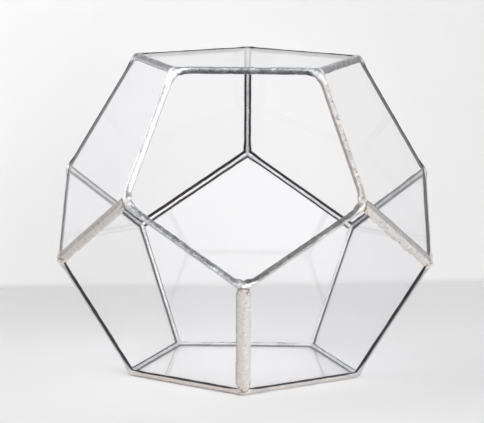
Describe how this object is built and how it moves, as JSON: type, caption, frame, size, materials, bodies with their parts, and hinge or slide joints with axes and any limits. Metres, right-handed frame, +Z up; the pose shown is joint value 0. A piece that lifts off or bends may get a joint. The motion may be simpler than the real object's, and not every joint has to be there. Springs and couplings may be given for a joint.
{
  "type": "empty geometric glass terrarium",
  "caption": "Empty faceted terrarium of clear pentagonal glass panes joined by soldered metal seams, open at its upper front face.",
  "frame": {"origin": "on the surface the terrarium stands on, under the middle of the base", "axes": "+Z up, the open face looks towards -Y and up, +X to the right as seen from the front"},
  "size_m": [0.2366, 0.2486, 0.202],
  "materials": {
    "clear_glass": "clear, polished, faintly cool, with light smudges",
    "dark_foil": "blackened copper foil, thin and slightly creased",
    "solder": "bright tin solder, lumpy, with ripples and small pits",
    "dull_solder": "dull warm grey tin solder, matt and pitted"
  },
  "bodies": {
    "root": {"pane_base": "clear_glass", "pane_top": "clear_glass", "pane_lower_0": "clear_glass", "pane_lower_1": "clear_glass", "pane_lower_2": "clear_glass", "pane_lower_3": "clear_glass", "pane_lower_4": "clear_glass", "pane_upper_1": "clear_glass", "pane_upper_2": "clear_glass", "pane_upper_3": "clear_glass", "pane_upper_4": "clear_glass", "foil_base": "dark_foil", "foil_top": "dark_foil", "foil_lower_0": "dark_foil", "foil_lower_1": "dark_foil", "foil_lower_2": "dark_foil", "foil_lower_3": "dark_foil", "foil_lower_4": "dark_foil", "foil_upper_1": "dark_foil", "foil_upper_2": "dark_foil", "foil_upper_3": "dark_foil", "foil_upper_4": "dark_foil", "seam_base_0": "solder", "seam_base_1": "solder", "seam_base_2": "solder", "seam_base_3": "solder", "seam_base_4": "solder", "seam_leg_0": "dull_solder", "seam_leg_1": "solder", "seam_leg_2": "solder", "seam_leg_3": "solder", "seam_leg_4": "solder", "seam_belt_rise_1": "solder", "seam_belt_rise_2": "solder", "seam_belt_rise_3": "solder", "seam_belt_rise_4": "dull_solder", "seam_belt_fall_0": "dull_solder", "seam_belt_fall_1": "solder", "seam_belt_fall_2": "solder", "seam_belt_fall_3": "solder", "seam_shoulder_1": "solder", "seam_shoulder_2": "solder", "seam_shoulder_3": "solder", "seam_top_0": "solder", "seam_top_1": "solder", "seam_top_2": "solder", "seam_top_3": "solder", "rim_top": "solder", "rim_upper_right": "solder", "rim_lower_right": "solder", "rim_lower_left": "solder", "rim_upper_left": "solder"}
  },
  "joints": []
}
